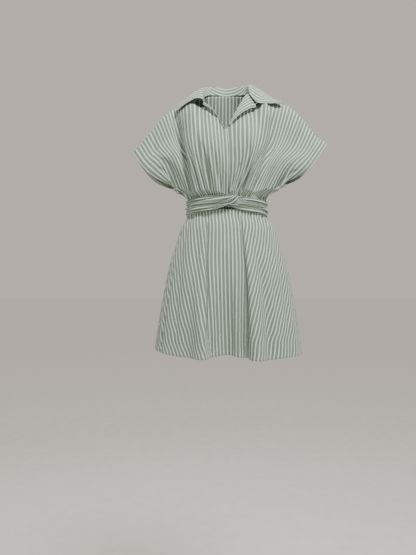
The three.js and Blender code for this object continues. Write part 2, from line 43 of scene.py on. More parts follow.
# The dress in millimetres: +Z up, front towards -Y, the wearer's left towards +X
CLOTH = 0.9
WAIST_HALF_WIDTH = 121
WAIST_HALF_DEPTH = 88
WAIST_SEAM_Z = -372
SHOULDER_SEAM_Y = 8
SIDE_SEAM_Y = 2
SIDE_SEAM_ACROSS = 271
SLEEVE_HEM_ACROSS = 305
CUFF_WIDTH = 16
FRONT_LAP = 14
NECK_ACROSS = 75
BACK_SLEEVE_FROM = 90
BACK_SLEEVE_TO = 190
STRIPE_LENGTH = 330
GATHER_TOP_Z = -290
TIES_TOP_Z = -330
WAIST_EASE = 1.005
BLOUSE = 0.0085
SLEEVE_EASE = 0.4
FRONT_SEAM_RIGHT = -72
FRONT_SEAM_LEFT = 92


def table(names, rows):
    """Columns of a table by name."""
    return {name: np.array([row[k] for row in rows], float) for k, name in enumerate(names.split())}


RIGHT_FRONT = table("across top chest rib low", [
    (-14, (8, -90, -150), (12, -101, -206), (12, -100, -268), (11, -80, -345)),
    (0, (-6, -88, -136), (-2, -103, -203), (-1, -102, -267), (-2, -82, -345)),
    (34, (-40, -68, -76), (-33, -110, -169), (-26, -110, -253), (-20, -89, -348)),
    (68, (-73, -32, -37), (-65, -106, -156), (-55, -111, -251), (-39, -85, -352)),
    (80, (-83, 8, -19), (-77, -101, -152), (-66, -109, -248), (-45, -84, -355)),
    (102, (-107, 8, -27), (-101, -90, -143), (-87, -102, -243), (-57, -80, -360)),
    (136, (-142, 8, -38), (-130, -66, -144), (-105, -90, -241), (-72, -73, -368)),
    (170, (-174, 8, -49), (-148, -50, -150), (-116, -80, -238), (-84, -66, -372)),
    (203, (-205, 8, -76), (-173, -46, -160), (-132, -70, -236), (-95, -58, -372)),
    (237, (-235, 8, -113), (-207, -43, -171), (-165, -60, -234), (-112, -39, -372)),
    (271, (-266, 8, -151), (-237, -45, -199), (-194, -54, -247), (-124, 2, -372)),
    (281, (-274, 8, -161), (-245, -46, -208), (-201, -53, -253), (-127, 2, -334)),
    (288, (-280, 8, -168), (-250, -48, -215), (-206, -52, -258), (-141, 2, -316)),
    (305, (-294, 8, -184), (-262, -50, -231), (-217, -50, -272), (-161, 2, -296)),
])
LEFT_FRONT = table("across top chest rib low", [
    (0, (-3, -92, -135), (3, -106, -203), (3, -104, -267), (2, -90, -345)),
    (34, (37, -60, -53), (34, -108, -159), (33, -111, -248), (9, -90, -346)),
    (68, (68, -22, -12), (70, -104, -144), (56, -110, -242), (17, -89, -350)),
    (80, (84, 8, -13), (80, -99, -146), (61, -109, -243), (20, -89, -352)),
    (102, (115, 8, -20), (99, -90, -149), (70, -107, -244), (26, -88, -356)),
    (136, (154, 8, -28), (127, -68, -155), (82, -100, -246), (37, -86, -364)),
    (170, (195, 8, -37), (158, -52, -157), (110, -84, -242), (52, -82, -370)),
    (203, (228, 8, -66), (189, -44, -161), (134, -70, -242), (74, -72, -372)),
    (237, (255, 8, -99), (221, -42, -176), (161, -60, -246), (98, -55, -372)),
    (271, (285, 8, -134), (248, -45, -195), (195, -54, -254), (124, 2, -372)),
    (281, (293, 8, -141), (255, -47, -201), (206, -53, -256), (129, 2, -330)),
    (288, (299, 8, -146), (260, -48, -205), (214, -52, -258), (145, 2, -308)),
    (305, (311, 8, -156), (272, -50, -213), (229, -50, -258), (168, 2, -284)),
])
BACK = table("across topX topY topZ chestX chestY ribX ribY", [
    (0, 0, 56, 9, 0, 92, 0, 92),
    (34, 32, 46, 5, 34, 94, 32, 92),
    (68, 66, 16, -9, 68, 92, 64, 88),
    (102, 107, 8, -12, 102, 84, 92, 82),
    (136, 142, 8, -25, 134, 72, 118, 74),
])
RIGHT_FOLDS = table("across0 down0 across1 down1 depth width", [
    (158, 0.12, 192, 0.8, 14, 17),
    (120, 0.3, 124, 0.85, -5, 13),
    (96, 0.4, 78, 0.88, 5, 8),
    (40, 0.68, 30, 0.96, 4, 8),
    (262, 0.52, 250, 0.92, 6, 9),
])
LEFT_FOLDS = table("across0 down0 across1 down1 depth width", [
    (138, 0.14, 176, 0.78, 12, 16),
    (226, 0.16, 216, 0.5, 4, 9),
    (62, 0.46, 40, 0.92, 7, 10),
    (108, 0.6, 98, 0.94, 4, 8),
    (262, 0.56, 254, 0.94, 6, 9),
])
BACK_FOLDS = table("across0 down0 across1 down1 depth width", [
    (150, 0.2, 140, 0.8, 10, 18),
    (60, 0.62, 52, 0.96, 4, 10),
    (100, 0.66, 92, 0.96, 4, 9),
])
COLLAR = table("round neck roll fall edge", [
    (0, (-72, -36, -39), (-76, -41, -31), (-104, -36, -27), (-157, -36, -66)),
    (0.12, (-69, -10, -13.8), (-76, -12, 8), (-112, -6, -4), (-154, -8, -38)),
    (0.2, (-65, 9, -5.2), (-73, 10, 19), (-106, 20, 4), (-144, 24, -33)),
    (0.3, (-54, 26, 3.2), (-63, 31, 30), (-92, 48, 8), (-124, 58, -42)),
    (0.5, (0, 54, 10), (0, 63, 38), (0, 76, 20), (0, 92, -30)),
    (0.7, (54, 26, 4), (62, 31, 34), (94, 48, 14), (128, 60, -32)),
    (0.88, (63, -6, -6), (68, -8, 21), (112, 2, 5), (160, 12, -20)),
    (1, (72, -26, -15), (69, -38, -7), (95, -61, -45), (170, -25, -35)),
])
RIGHT_TIE = table("angle top bottom out", [
    (13, -317, -333, 9),
    (5, -325, -356, 14),
    (-6, -329, -366, 13),
    (-24, -331, -376, 9),
    (-58, -334, -383, 7.6),
    (-90, -336, -391, 6.6),
    (-130, -338, -387, 5.4),
    (-176, -347, -375, 7.5),
])
LEFT_TIE = table("angle top bottom out", [
    (-3, -338, -362, 5.8),
    (8, -339, -369, 6),
    (28, -336, -379, 7),
    (60, -340, -383, 6),
    (90, -340, -389, 6.1),
    (130, -340, -387, 5.9),
    (176, -347, -375, 7.5),
])
SKIRT_RINGS = table("drop width front back shift", [
    (372.6, 120, 87, 87, 0),
    (391, 124, 90.5, 90.5, 0),
    (412, 140, 102, 102, 2),
    (460, 159, 116, 118, 3),
    (530, 182, 132, 136, 3),
    (600, 197, 146, 149, 3),
    (700, 215, 160, 163, 3),
    (806, 229, 171, 175, 4),
])
FLUTES = table("angle depth left right start", [
    (-3, 46, 9, 10, 0.3),
    (11, 16, 4, 3, 0.05),
    (-18, -20, 8, 6, 0.25),
    (20, -20, 6, 8, 0.2),
    (-33, 9, 7, 7, 0.1),
    (31, 9, 5, 6, 0.1),
    (56, -8, 12, 12, 0.3),
    (-62, -8, 12, 12, 0.3),
    (128, 24, 12, 10, 0.25),
    (165, 22, 9, 11, 0.2),
    (196, 26, 10, 9, 0.25),
    (236, 20, 12, 11, 0.3),
])
HEM = table("angle z", [
    (-124, -806),
    (-90, -792),
    (-66, -795),
    (-40, -804),
    (-19, -806),
    (-3, -799),
    (17, -809),
    (60, -806),
    (95, -809),
    (165, -806),
    (236, -808),
])
LAPEL = table("along root across down", [
    (0, 5, 6, 0.03),
    (0.25, 18, 19, 0.085),
    (0.55, 38, 38, 0.138),
    (0.8, 54, 60, 0.15),
    (1, 64, 81, 0.118),
])
EDGE = table("along root across down", [
    (0, 5, 5, 0.027),
    (1, 66, 66, 0.027),
])


# Curves and surfaces through the tables
def curve(xs, ys, x):
    """Smooth curve through ys at xs, for an array x; ys may differ for each x on its second axis."""
    xs, ys, x = np.asarray(xs, float), np.asarray(ys, float), np.asarray(x, float)
    step = np.diff(xs)
    spread = step.reshape((-1,) + (1,) * (ys.ndim - 1))
    rise = np.diff(ys, axis=0) / spread
    slopes = np.empty_like(ys)
    slopes[0], slopes[-1] = rise[0], rise[-1]
    slopes[1:-1] = (rise[:-1] * spread[1:] + rise[1:] * spread[:-1]) / (spread[:-1] + spread[1:])
    i = np.clip(np.searchsorted(xs, x) - 1, 0, len(xs) - 2)
    if ys.ndim == 3:
        pick = lambda a, k: a[k, np.arange(len(x))]
    else:
        pick = lambda a, k: a[k]
    shape = x.shape + (1,) * (pick(ys, i).ndim - 1)
    h = step[i].reshape(shape)
    f = ((x - xs[i]) / step[i]).reshape(shape)
    y0, y1, s0, s1 = pick(ys, i), pick(ys, i + 1), pick(slopes, i) * h, pick(slopes, i + 1) * h
    inside = (y0 * (2 * f**3 - 3 * f**2 + 1) + s0 * (f**3 - 2 * f**2 + f)
              + y1 * (3 * f**2 - 2 * f**3) + s1 * (f**3 - f**2))
    return np.where(f < 0, y0 + s0 * f, np.where(f > 1, y1 + s1 * (f - 1), inside))


def smooth(low, high, x):
    f = np.clip((np.asarray(x, float) - low) / (high - low), 0, 1)
    return f * f * (3 - 2 * f)


def mix(a, b, f):
    return a + (b - a) * f


def loft(rows, key, levels, heights, x, down):
    points = np.stack([curve(rows[key], rows[name], x) for name in levels])
    return curve(heights, points, down)


def runs(folds, across, down, length=STRIPE_LENGTH, fading=False):
    """Depth of the folds of a table at places of a panel: each is a run between two places."""
    total = np.zeros_like(across)
    for k in range(len(folds["across0"])):
        row = {name: folds[name][k] for name in folds}
        f = np.clip((down - row["down0"]) / (row["down1"] - row["down0"]), 0, 1)
        bow = row.get("bow", 0) * np.sin(np.pi * f)
        middle = mix(row["across0"], row["across1"], f) + bow
        past = np.maximum(np.maximum(row["down0"] - down, down - row["down1"]), 0) * length
        off = np.hypot(across - middle, past * 0.45) / row["width"]
        if fading:
            swell = np.sin(np.pi * np.clip(f, 0.01, 0.99)) ** 0.6
        else:
            swell = 0.35 + 0.65 * np.sin(np.pi * np.clip(f, 0.08, 0.92))
        total += row["depth"] * swell * np.exp(-np.abs(off) ** row.get("edge", 2))
    return total


def ripple(a, b, seed, sizes):
    """Small even unrest of hung cloth: sines of the given lengths in random directions."""
    rng = random.Random(seed)
    total = np.zeros_like(a)
    for size, height, slant in sizes:
        for _ in range(5):
            turn = rng.uniform(-slant, slant)
            phase = rng.uniform(0, 2 * np.pi)
            stretch = rng.uniform(0.75, 1.35)
            wave = a * math.cos(turn) / (size * stretch) + b * math.sin(turn) / (size * stretch)
            fade = np.sin(b / (size * 2.3) + rng.uniform(0, 6.28))
            total += height * np.sin(2 * np.pi * wave + phase) * (0.55 + 0.45 * fade) / 5
    return total


def gather_to_waist(at):
    above = np.maximum(0, at[:, 2] - TIES_TOP_Z)
    open_out = SLEEVE_EASE * (above / (GATHER_TOP_Z - TIES_TOP_Z)) ** 3
    limit = WAIST_EASE + BLOUSE * above + open_out
    reach = np.hypot(at[:, 0] / WAIST_HALF_WIDTH, at[:, 1] / WAIST_HALF_DEPTH)
    held = (at[:, 2] < GATHER_TOP_Z) & (reach > limit)
    scale = np.where(held, limit / np.maximum(reach, 1e-6), 1)
    at[:, 0] *= scale
    at[:, 1] *= scale
    return at


def rounded(rows):
    """Adds the round crown over the arm and the round turn under it to each stripe."""
    on_sleeve = smooth(72, 100, rows["across"])
    under_arm = smooth(237, 281, rows["across"])

    def between(a, b, run, depth_run):
        out = a + (b - a) * run[:, None]
        out[:, 1] = a[:, 1] + (b[:, 1] - a[:, 1]) * depth_run
        return out
    made = dict(rows)
    made["crown"] = between(rows["top"], rows["chest"],
                            mix(0.33, 0.17, on_sleeve), mix(0.36, 0.56, on_sleeve))
    made["turn"] = between(rows["rib"], rows["low"],
                           mix(0.7, 0.84, under_arm), mix(0.7, 0.46, under_arm))
    return made


def back_rows(rows, side):
    across = rows["across"]
    on_sleeve = smooth(BACK_SLEEVE_FROM, BACK_SLEEVE_TO, across)
    own = {name: curve(BACK["across"], BACK[name][:, None], np.minimum(across, BACK["across"][-1]))[:, 0]
           for name in BACK if name != "across"}
    turn = np.minimum(1, across / SIDE_SEAM_ACROSS) * np.pi / 2
    top = rows["top"].copy()
    on_neck = across < NECK_ACROSS
    top[on_neck] = np.stack([side * own["topX"], own["topY"], own["topZ"]], 1)[on_neck]
    low = np.stack([side * WAIST_HALF_WIDTH * np.sin(turn), WAIST_HALF_DEPTH * np.cos(turn),
                    np.full(len(across), WAIST_SEAM_Z)], 1)
    at_side = across >= SIDE_SEAM_ACROSS
    low[at_side] = rows["low"][at_side]
    made = {"across": across, "top": top, "low": low}
    for level in ("chest", "rib"):
        front = rows[level]
        made[level] = np.stack([
            mix(side * own[level + "X"], front[:, 0], on_sleeve),
            mix(own[level + "Y"], 2 * SHOULDER_SEAM_Y - front[:, 1], on_sleeve),
            front[:, 2]], 1)
    return made


LEVELS = ["top", "crown", "chest", "rib", "turn", "low"]
LEVEL_HEIGHTS = [0, 0.11, 0.33, 0.67, 0.9, 1]
right_rows = rounded(RIGHT_FRONT)
left_rows = rounded(LEFT_FRONT)
right_back_rows = rounded(back_rows({name: value[1:] for name, value in RIGHT_FRONT.items()}, -1))
left_back_rows = rounded(back_rows(LEFT_FRONT, 1))


def front_surface(rows, folds):
    def at(across, down):
        points = loft(rows, "across", LEVELS, LEVEL_HEIGHTS, across, down)
        points[:, 1] += runs(folds, across, down)
        return gather_to_waist(points)
    return at


right_front = front_surface(right_rows, RIGHT_FOLDS)
left_front = front_surface(left_rows, LEFT_FOLDS)


def back_surface(across, down):
    away = np.abs(across)
    right = loft(right_back_rows, "across", LEVELS, LEVEL_HEIGHTS, away, down)
    left = loft(left_back_rows, "across", LEVELS, LEVEL_HEIGHTS, away, down)
    points = np.where((across < 0)[:, None], right, left)
    points[:, 1] -= runs(BACK_FOLDS, away, down)
    return gather_to_waist(points)


def tie_surface(rows, folds):
    places = np.linspace(0, 1, len(rows["angle"]))

    def at(along, over):
        value = {name: curve(places, rows[name][:, None], along)[:, 0] for name in rows}
        angle = np.radians(value["angle"])
        out = value["out"] + 2 * np.sin(np.pi * over) - tie_depth(folds, along, over)
        return np.stack([(WAIST_HALF_WIDTH + out) * np.sin(angle),
                         -(WAIST_HALF_DEPTH + out) * np.cos(angle),
                         mix(value["top"], value["bottom"], over)], 1)
    return at


def tie_depth(folds, along, over):
    """Lengthwise pleats of a tie, each drifting across it."""
    total = np.zeros_like(along)
    for start, end, swing, depth, width in folds:
        middle = mix(start, end, along) + swing * np.sin(2 * np.pi * along * 1.3 + start * 9)
        total += depth * np.exp(-((over - middle) / width) ** 2)
    return total


def skirt_surface(degrees, down):
    last = HEM["angle"][-1]
    hem_z = curve(HEM["angle"], HEM["z"][:, None], np.where(degrees > last, degrees - 360, degrees))[:, 0]
    drop = mix(SKIRT_RINGS["drop"][0], -hem_z, down)
    ring = {name: curve(SKIRT_RINGS["drop"], SKIRT_RINGS[name][:, None], drop)[:, 0]
            for name in SKIRT_RINGS if name != "drop"}
    angle = np.radians(degrees)
    depth = mix(ring["back"], ring["front"], smooth(-0.35, 0.35, np.cos(angle)))
    inward = np.zeros_like(degrees)
    for k in range(len(FLUTES["angle"])):
        off = (degrees - FLUTES["angle"][k] + 180) % 360 - 180
        breadth = np.where(off < 0, FLUTES["left"][k], FLUTES["right"][k])
        start = FLUTES["start"][k]
        grown = np.maximum(0, (down - start) / (1 - start))
        inward += FLUTES["depth"][k] * grown ** 1.2 * np.exp(-(off / breadth) ** 2)
    across = np.stack([np.sin(angle) / ring["width"], -np.cos(angle) / depth], 1)
    across /= np.linalg.norm(across, axis=1)[:, None]
    return np.stack([ring["width"] * np.sin(angle) + ring["shift"] - across[:, 0] * inward,
                     -depth * np.cos(angle) - across[:, 1] * inward, -drop], 1)


# Panels: a grid of points with its normals, its places on the flat cloth and its range
def normals_of(points, facing):
    along_a = np.gradient(points, axis=0)
    along_b = np.gradient(points, axis=1)
    n = np.cross(along_a, along_b)
    n /= np.maximum(np.linalg.norm(n, axis=2), 1e-9)[:, :, None]
    return n * facing


def lay_out(surface, a_values, b_values, relief=None, facing=None):
    """Grid of a surface, moved along its normal by relief(a, b), which is in millimetres outwards."""
    a, b = np.meshgrid(np.asarray(a_values, float), np.asarray(b_values, float), indexing="ij")
    points = surface(a.ravel(), b.ravel()).reshape(a.shape + (3,))
    if facing is None:
        n = normals_of(points, 1)
        middle = (a.shape[0] // 2, a.shape[1] // 2)
        facing = 1 if np.dot(n[middle][:2], points[middle][:2]) > 0 else -1
    n = normals_of(points, facing)
    if relief is not None:
        points = points + n * relief(a.ravel(), b.ravel()).reshape(a.shape)[:, :, None]
        n = normals_of(points, facing)
    lengths = np.linalg.norm(np.diff(points, axis=1), axis=2)
    along = np.concatenate([np.zeros((a.shape[0], 1)), np.cumsum(lengths, axis=1)], 1)
    return {"points": points, "normals": n, "a": a, "b": b, "along": along, "facing": facing}


def cloth_object(name, panel, cut, wrap=False, thickness=CLOTH):
    """A closed thin shell on a panel's grid, with rounded edges."""
    outer, n = panel["points"], panel["normals"]
    rows, columns = outer.shape[:2]
    inner = outer - n * thickness
    ids = np.arange(rows * columns).reshape(rows, columns)
    back = ids + rows * columns
    verts = [outer.reshape(-1, 3), inner.reshape(-1, 3)]
    places = [cut.reshape(-1, 2)] * 2
    if wrap:
        ids_w, back_w = np.vstack([ids, ids[:1]]), np.vstack([back, back[:1]])
    else:
        ids_w, back_w = ids, back
    front_faces = np.stack([ids_w[:-1, :-1], ids_w[1:, :-1], ids_w[1:, 1:], ids_w[:-1, 1:]], 2).reshape(-1, 4)
    back_faces = np.stack([back_w[:-1, :-1], back_w[:-1, 1:], back_w[1:, 1:], back_w[1:, :-1]],
                          2).reshape(-1, 4)
    faces = [front_faces, back_faces]
    if wrap:
        loops = [[(i, 0) for i in range(rows)] + [(0, 0)],
                 [(i, columns - 1) for i in range(rows - 1, -1, -1)] + [(rows - 1, columns - 1)]]
        inside = [lambda i, j: (i, 1), lambda i, j: (i, columns - 2)]
    else:
        edge = [(i, 0) for i in range(rows)] + [(rows - 1, j) for j in range(1, columns)]
        edge += [(i, columns - 1) for i in range(rows - 2, -1, -1)]
        edge += [(0, j) for j in range(columns - 2, -1, -1)]
        loops = [edge]
        inside = [lambda i, j: (min(max(i, 1), rows - 2), min(max(j, 1), columns - 2))]
    total = 2 * rows * columns
    for loop, inward in zip(loops, inside):
        ring = loop[:-1]
        at = np.array([(outer[i, j] + inner[i, j]) / 2 for i, j in ring])
        away = np.array([outer[i, j] - outer[inward(i, j)] for i, j in ring])
        away /= np.maximum(np.linalg.norm(away, axis=1), 1e-9)[:, None]
        verts.append(at + away * thickness * 0.4)
        places.append(np.array([cut[i, j] for i, j in ring]))
        mid = total + np.arange(len(ring))
        total += len(ring)
        o = np.array([ids[i, j] for i, j in ring])
        k = np.array([back[i, j] for i, j in ring])
        nxt = np.roll(np.arange(len(ring)), -1)
        faces.append(np.stack([o, mid, mid[nxt], o[nxt]], 1))
        faces.append(np.stack([mid, k, k[nxt], mid[nxt]], 1))
    faces = np.concatenate(faces)
    if panel["facing"] < 0:
        faces = faces[:, ::-1]
    return mesh_object(name, np.concatenate(verts) * MM, faces, np.concatenate(places))


def mesh_object(name, verts, faces, places=None):
    mesh = bpy.data.meshes.new(name)
    mesh.vertices.add(len(verts))
    mesh.vertices.foreach_set("co", np.asarray(verts, np.float32).ravel())
    size = faces.shape[1]
    mesh.loops.add(faces.size)
    mesh.loops.foreach_set("vertex_index", faces.astype(np.int32).ravel())
    mesh.polygons.add(len(faces))
    mesh.polygons.foreach_set("loop_start", np.arange(len(faces), dtype=np.int32) * size)
    mesh.polygons.foreach_set("use_smooth", np.ones(len(faces), dtype=bool))
    if places is not None:
        layer = mesh.uv_layers.new(name="cut")
        layer.data.foreach_set("uv", np.asarray(places, np.float32)[faces.ravel()].ravel())
    mesh.update()
    mesh.validate()
    obj = bpy.data.objects.new(name, mesh)
    bpy.context.collection.objects.link(obj)
    return obj


def sample(panel, u, v):
    """Points and normals of a panel at fractions of its grid."""
    rows, columns = panel["points"].shape[:2]
    x = np.clip(np.asarray(u, float), 0, 1) * (rows - 1)
    y = np.clip(np.asarray(v, float), 0, 1) * (columns - 1)
    i, j = np.minimum(x.astype(int), rows - 2), np.minimum(y.astype(int), columns - 2)
    fx, fy = (x - i)[:, None], (y - j)[:, None]
    out = []
    for field in (panel["points"], panel["normals"]):
        low = mix(field[i, j], field[i + 1, j], fx)
        high = mix(field[i, j + 1], field[i + 1, j + 1], fx)
        out.append(mix(low, high, fy))
    return out


STITCH_PITCH = 3.0
STITCH_LENGTH = 2.2
THREAD = 0.45
BAR_FACES = np.array([[0, 1, 4], [1, 2, 4], [2, 3, 4], [3, 0, 4],
                      [1, 0, 5], [2, 1, 5], [3, 2, 5], [0, 3, 5]])


def stitches(name, lines):
    """Rows of machine stitches lying on the cloth: one low rounded bar for each stitch."""
    verts, faces, count = [], [], 0
    for points, n in lines:
        step = np.linalg.norm(np.diff(points, axis=0), axis=1)
        run = np.concatenate([[0], np.cumsum(step)])
        starts = np.arange(STITCH_PITCH / 2, run[-1] - STITCH_PITCH / 2, STITCH_PITCH)
        at = lambda s: np.stack([np.interp(s, run, points[:, k]) for k in range(3)], 1)
        up = np.stack([np.interp(starts, run, n[:, k]) for k in range(3)], 1)
        up /= np.linalg.norm(up, axis=1)[:, None]
        a, b = at(starts - STITCH_LENGTH / 2), at(starts + STITCH_LENGTH / 2)
        d = (b - a) / np.maximum(np.linalg.norm(b - a, axis=1), 1e-9)[:, None]
        side = np.cross(up, d) * THREAD / 2
        middle = (a + b) / 2
        rise = up * THREAD * 0.7
        ring = np.stack([a, middle + side, b, middle - side, middle + rise, middle - rise], 1)
        verts.append(ring.reshape(-1, 3))
        base = count + np.arange(len(starts))[:, None] * 6
        faces.append((base[:, :, None] + BAR_FACES[None]).reshape(-1, 3))
        count += len(starts) * 6
    obj = mesh_object(name, np.concatenate(verts) * MM, np.concatenate(faces))
    obj.data.materials.append(thread_material)
    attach(obj, "root")
    return obj


# Camera at the photo's angle
camera_data = bpy.data.cameras.new("camera")
camera_data.lens = 35.3
camera_data.sensor_width = 36
camera_data.clip_start, camera_data.clip_end = 0.1, 60
camera = bpy.data.objects.new("camera", camera_data)
camera.location = (-0.059, -1.7, -0.575)
camera.rotation_euler = (math.radians(90), 0, 0)
bpy.context.collection.objects.link(camera)
bpy.context.scene.camera = camera


# Materials
STRIPE_PERIOD = 0.0113
WHITE_SHARE = 0.31
STRIPE_SOFTNESS = 0.03
CHEST_STEP = 0.94
SLEEVE_STEP = 0.24
GREEN = (0.168, 0.243, 0.184, 1)
WHITE = (0.63, 0.69, 0.645, 1)


def node(tree, kind, inputs=None, **settings):
    made = tree.nodes.new(kind)
    for key, value in settings.items():
        setattr(made, key, value)
    for key, value in (inputs or {}).items():
        if isinstance(value, bpy.types.NodeSocket):
            tree.links.new(value, made.inputs[key])
        else:
            made.inputs[key].default_value = value
    return made


def math_node(tree, operation, a, b=0.0, c=0.0):
    return node(tree, "ShaderNodeMath", {0: a, 1: b, 2: c}, operation=operation).outputs[0]


def striped_cotton(name):
    """Plain-weave cotton with lengthwise stripes, from the cloth's own places in metres."""
    material = bpy.data.materials.new(name)
    material.use_nodes = True
    tree = material.node_tree
    shader = tree.nodes["Principled BSDF"]
    shader.inputs["Roughness"].default_value = 0.86
    shader.inputs["Specular IOR Level"].default_value = 0.25
    shader.inputs["Sheen Weight"].default_value = 0.12
    shader.inputs["Sheen Roughness"].default_value = 0.5
    cut = node(tree, "ShaderNodeUVMap", uv_map="cut").outputs["UV"]
    split = node(tree, "ShaderNodeSeparateXYZ", {0: cut})
    across, along = split.outputs["X"], split.outputs["Y"]
    thread = node(tree, "ShaderNodeCombineXYZ", {0: across, 1: math_node(tree, "MULTIPLY", along, 0.03)})
    waver = node(tree, "ShaderNodeTexNoise", {"Vector": thread.outputs[0], "Scale": 420.0, "Detail": 2.0})
    wander = math_node(tree, "MULTIPLY", math_node(tree, "SUBTRACT", waver.outputs[0], 0.5), 0.05)
    turns = math_node(tree, "ADD", math_node(tree, "DIVIDE", across, STRIPE_PERIOD), wander)
    wave = math_node(tree, "PINGPONG", turns, 0.5)
    edge = node(tree, "ShaderNodeMapRange", {
        "Value": wave, "From Min": WHITE_SHARE / 2 - STRIPE_SOFTNESS,
        "From Max": WHITE_SHARE / 2 + STRIPE_SOFTNESS,
        "To Min": 1.0, "To Max": 0.0}, interpolation_type="SMOOTHSTEP")
    colour = node(tree, "ShaderNodeMix", {0: edge.outputs["Result"], 6: GREEN, 7: WHITE},
                  data_type="RGBA")
    flecks = node(tree, "ShaderNodeTexNoise", {"Vector": cut, "Scale": 1400.0, "Detail": 3.0,
                                               "Roughness": 0.7})
    patches = node(tree, "ShaderNodeTexNoise", {"Vector": cut, "Scale": 9.0, "Detail": 2.0})
    tone = math_node(tree, "ADD", math_node(tree, "MULTIPLY", flecks.outputs[0], 0.10),
                     math_node(tree, "MULTIPLY", patches.outputs[0], 0.08))
    tone = math_node(tree, "ADD", tone, 0.91)
    grey = node(tree, "ShaderNodeCombineColor", {0: tone, 1: tone, 2: tone})
    shade = node(tree, "ShaderNodeMix", {0: 1.0, 6: colour.outputs[2], 7: grey.outputs[0]},
                 data_type="RGBA", blend_type="MULTIPLY")
    tree.links.new(shade.outputs[2], shader.inputs["Base Color"])
    warp = node(tree, "ShaderNodeTexWave", {"Vector": cut, "Scale": 460.0, "Distortion": 1.2,
                                            "Detail": 1.0}, bands_direction="X")
    weft = node(tree, "ShaderNodeTexWave", {"Vector": cut, "Scale": 400.0, "Distortion": 1.2,
                                            "Detail": 1.0}, bands_direction="Y")
    weave = math_node(tree, "MULTIPLY", warp.outputs["Fac"], weft.outputs["Fac"])
    fine = node(tree, "ShaderNodeBump", {"Strength": 0.35, "Distance": 0.0002, "Height": weave})
    crumple = node(tree, "ShaderNodeTexNoise", {"Vector": cut, "Scale": 34.0, "Detail": 4.0,
                                                "Roughness": 0.55, "Distortion": 0.6})
    soft = node(tree, "ShaderNodeBump", {"Strength": 0.5, "Distance": 0.0012,
                                         "Height": crumple.outputs[0], "Normal": fine.outputs[0]})
    tree.links.new(soft.outputs[0], shader.inputs["Normal"])
    return material


def plain_material(name, colour, roughness):
    material = bpy.data.materials.new(name)
    material.use_nodes = True
    tree = material.node_tree
    shader = tree.nodes["Principled BSDF"]
    shader.inputs["Roughness"].default_value = roughness
    shader.inputs["Specular IOR Level"].default_value = 0.2
    grain = node(tree, "ShaderNodeTexNoise", {"Scale": 900.0, "Detail": 2.0})
    mixed = node(tree, "ShaderNodeMix", {0: grain.outputs[0], 6: tuple(0.85 * c for c in colour) + (1,),
                                         7: tuple(min(1, 1.12 * c) for c in colour) + (1,)},
                 data_type="RGBA")
    tree.links.new(mixed.outputs[2], shader.inputs["Base Color"])
    return material


cotton = striped_cotton("striped_cotton")
thread_material = plain_material("sewing_thread", (0.52, 0.58, 0.52), 0.7)


def finish_cloth(obj, nodes):
    obj.data.materials.append(cotton)
    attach(obj, "root")
    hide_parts(*nodes)


def spaced(low, high, count, crowd=1.0):
    """Even places, or ones closer together towards the high end."""
    return low + (high - low) * (1 - (1 - np.linspace(0, 1, count)) ** crowd)


# Bodice
RIGHT_CREASES = table("across0 down0 across1 down1 bow depth width edge", [
    (86, 0.4, 66, 0.95, -3, 7, 7, 1.4),
    (70, 0.5, 54, 0.95, -2, -3, 9, 2),
    (164, 0.14, 217, 0.86, -12, 7, 14, 1.6),
    (200, 0.3, 238, 0.9, -4, -3, 13, 2),
    (138, 0.3, 160, 0.9, -4, -4, 11, 2),
    (127, 0.5, 133, 1.0, 2, 5.5, 8, 1.5),
    (50, 0.46, 26, 1.0, 2, 5, 7, 1.5),
    (34, 0.45, 14, 1.0, 0, 4, 6, 1.5),
    (104, 0.56, 98, 1.05, 2, 5.5, 8, 1.4),
    (210, 0.58, 200, 0.95, 0, 6, 8, 1.4),
    (176, 0.7, 174, 1.05, 0, 6, 8, 1.4),
    (152, 0.7, 152, 1.05, 0, -4, 9, 2),
    (232, 0.72, 228, 1.05, 0, 5, 9, 1.4),
    (235, 0.16, 260, 0.44, 4, 3.5, 8, 1.6),
    (282, 0.62, 256, 0.84, -4, 7, 6, 1.3),
    (256, 0.56, 236, 0.86, -2, 5, 7, 1.5),
    (288, 0.5, 284, 0.75, 0, -2, 6, 2),
    (108, 0.08, 104, 0.4, 3, 2.5, 10, 2),
    (82, 0.7, 78, 1.05, 0, 5, 7, 1.4),
    (12, 0.66, 3, 1.02, 0, 3.5, 6, 1.5),
])
LEFT_CREASES = table("across0 down0 across1 down1 bow depth width edge", [
    (40, 0.64, 8, 0.92, 0, 7, 6, 1.3),
    (24, 0.7, 2, 0.97, 0, -3.5, 8, 2),
    (88, 0.5, 68, 0.94, 12, -4.5, 8, 2),
    (76, 0.54, 44, 0.98, 9, 6, 7, 1.4),
    (1, 0.7, 0, 1.0, 0, 6, 6, 1.3),
    (146, 0.14, 132, 0.3, 0, 4, 9, 1.6),
    (134, 0.16, 184, 0.9, -2, 8, 14, 1.6),
    (119, 0.0, 119, 0.2, 0, 7, 11, 1.7),
    (128, 0.46, 156, 1.0, 0, 5.5, 8, 1.5),
    (112, 0.58, 120, 1.02, 0, -4, 9, 2),
    (212, 0.66, 240, 1.0, 0, 5.5, 9, 1.4),
    (174, 0.76, 172, 1.05, 0, 5, 8, 1.4),
    (224, 0.2, 243, 0.66, 4, 3.5, 9, 1.6),
    (280, 0.64, 256, 0.8, -3, 7, 6, 1.3),
    (288, 0.5, 286, 0.74, 0, -2, 6, 2),
    (58, 0.44, 90, 1.0, 3, 4.5, 8, 1.7),
    (190, 0.12, 204, 0.4, 4, 2.5, 10, 2),
    (104, 0.74, 102, 1.05, 0, 5.5, 7, 1.4),
    (64, 0.78, 60, 1.05, 0, 5, 7, 1.4),
    (252, 0.6, 262, 0.95, 0, 4, 8, 1.5),
])
